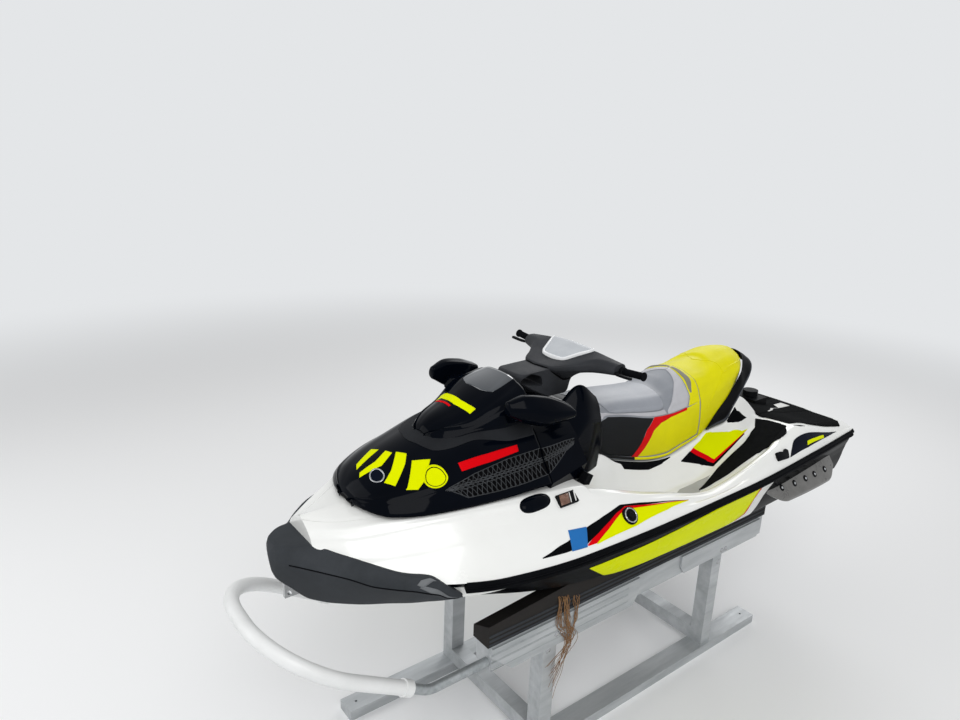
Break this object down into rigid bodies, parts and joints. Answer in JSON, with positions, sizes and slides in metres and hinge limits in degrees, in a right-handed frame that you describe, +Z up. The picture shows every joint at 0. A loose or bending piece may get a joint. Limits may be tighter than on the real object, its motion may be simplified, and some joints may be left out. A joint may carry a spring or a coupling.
{
  "type": "three-seat personal watercraft on a bunk cradle",
  "caption": "Jet driven personal watercraft with opening seat and front lid, steered nozzle and reverse gate, parked on a post and bunk cradle with a bow loop.",
  "frame": {"origin": "on the floor, under the centre of the whole part's box", "axes": "+X towards the bow, +Y to port, +Z up"},
  "size_m": [3.7412, 1.25, 1.92],
  "materials": {
    "black_gloss": "glossy black moulding",
    "black_plastic": "black moulding",
    "black_rubber": "matt black rubber",
    "cast_alloy": "cast alloy",
    "charcoal": "charcoal moulding",
    "cradle_alloy": "mill finish extrusion",
    "deck": "white gelcoat",
    "engine_block": "painted engine block",
    "galvanised": "galvanised pipe",
    "grey_bumper": "grained dark grey moulding",
    "hull": "glossy black gelcoat",
    "mat_foam": "ribbed foam mat",
    "seat_silver": "silver grey vinyl",
    "seat_yellow": "yellow vinyl",
    "silver_plastic": "silver moulding",
    "smoke_plastic": "smoke grey moulding",
    "stainless": "stainless steel",
    "white_pvc": "white pipe sleeve"
  },
  "bodies": {
    "craft": {"bow_bumper": "grey_bumper", "bow_eye": "stainless", "bow_loop": "galvanised", "bunk_beams": "cradle_alloy", "bunk_pads": "black_plastic", "cleats": "black_rubber", "console": "black_gloss", "cowl_meshes": "black_plastic", "cross_beams": "cradle_alloy", "deck": "deck", "deck_caps": "stainless", "engine": "engine_block", "footwell_mats": "mat_foam", "hull": "hull", "intake_grate": "cast_alloy", "knee_panels": "black_plastic", "loop_collars": "galvanised", "loop_sleeve": "white_pvc", "platform_mat": "mat_foam", "posts": "cradle_alloy", "pump_housing": "cast_alloy", "pylon_plate": "black_plastic", "ride_plate": "cast_alloy", "rub_rail": "black_rubber", "seat_base": "deck", "side_plates": "cradle_alloy", "side_vents": "black_plastic", "skids": "cradle_alloy", "sponsons": "smoke_plastic", "stern_brackets": "black_plastic", "stern_eyes": "stainless", "storage_tub": "black_plastic"},
    "handlebar": {"steering_cover": "charcoal", "bar_pad": "silver_plastic", "grips": "black_rubber", "levers": "black_plastic"},
    "front_lid": {"hood": "black_gloss", "wind_deflector": "black_gloss", "deflector_trim": "charcoal", "vent_meshes": "black_plastic", "mirrors": "black_gloss"},
    "seat": {"seat_front": "seat_silver", "seat_rear": "seat_yellow", "grab_rail": "charcoal"},
    "nozzle": {"jet_nozzle": "black_plastic"},
    "bucket": {"reverse_bucket": "black_plastic"},
    "rotor": {"impeller": "stainless", "drive_shaft": "stainless"},
    "pylon": {"tow_pylon": "black_plastic"}
  },
  "joints": [
    {"name": "steering", "type": "hinge", "parent": "craft", "child": "handlebar", "pos_m": [0.20542, 0, 1.88], "axis": [-0.4695, 0, 0.8829], "range_deg": [-22, 22]},
    {"name": "nozzle_steer", "type": "hinge", "parent": "craft", "child": "nozzle", "pos_m": [-1.66458, 0, 0.908], "axis": [0, 0, 1], "range_deg": [-22, 22]},
    {"name": "reverse_gate", "type": "hinge", "parent": "craft", "child": "bucket", "pos_m": [-1.64658, 0, 0.908], "axis": [0, -1, 0], "range_deg": [0, 72]},
    {"name": "impeller_spin", "type": "hinge", "parent": "craft", "child": "rotor", "pos_m": [-1.43958, 0, 0.908], "axis": [1, 0, 0], "continuous": true},
    {"name": "hood_lid", "type": "hinge", "parent": "craft", "child": "front_lid", "pos_m": [1.38742, 0, 1.44], "axis": [0, 1, 0], "range_deg": [0, 50]},
    {"name": "pylon_slide", "type": "slide", "parent": "craft", "child": "pylon", "axis": [0, 0, 1], "range_m": [0, 0.22]},
    {"name": "seat_lid", "type": "hinge", "parent": "craft", "child": "seat", "pos_m": [0.14742, 0, 1.592], "axis": [0, 1, 0], "range_deg": [0, 35]}
  ],
  "couplings": [
    {"joint": "nozzle_steer", "follows": "steering", "ratio": -1}
  ]
}
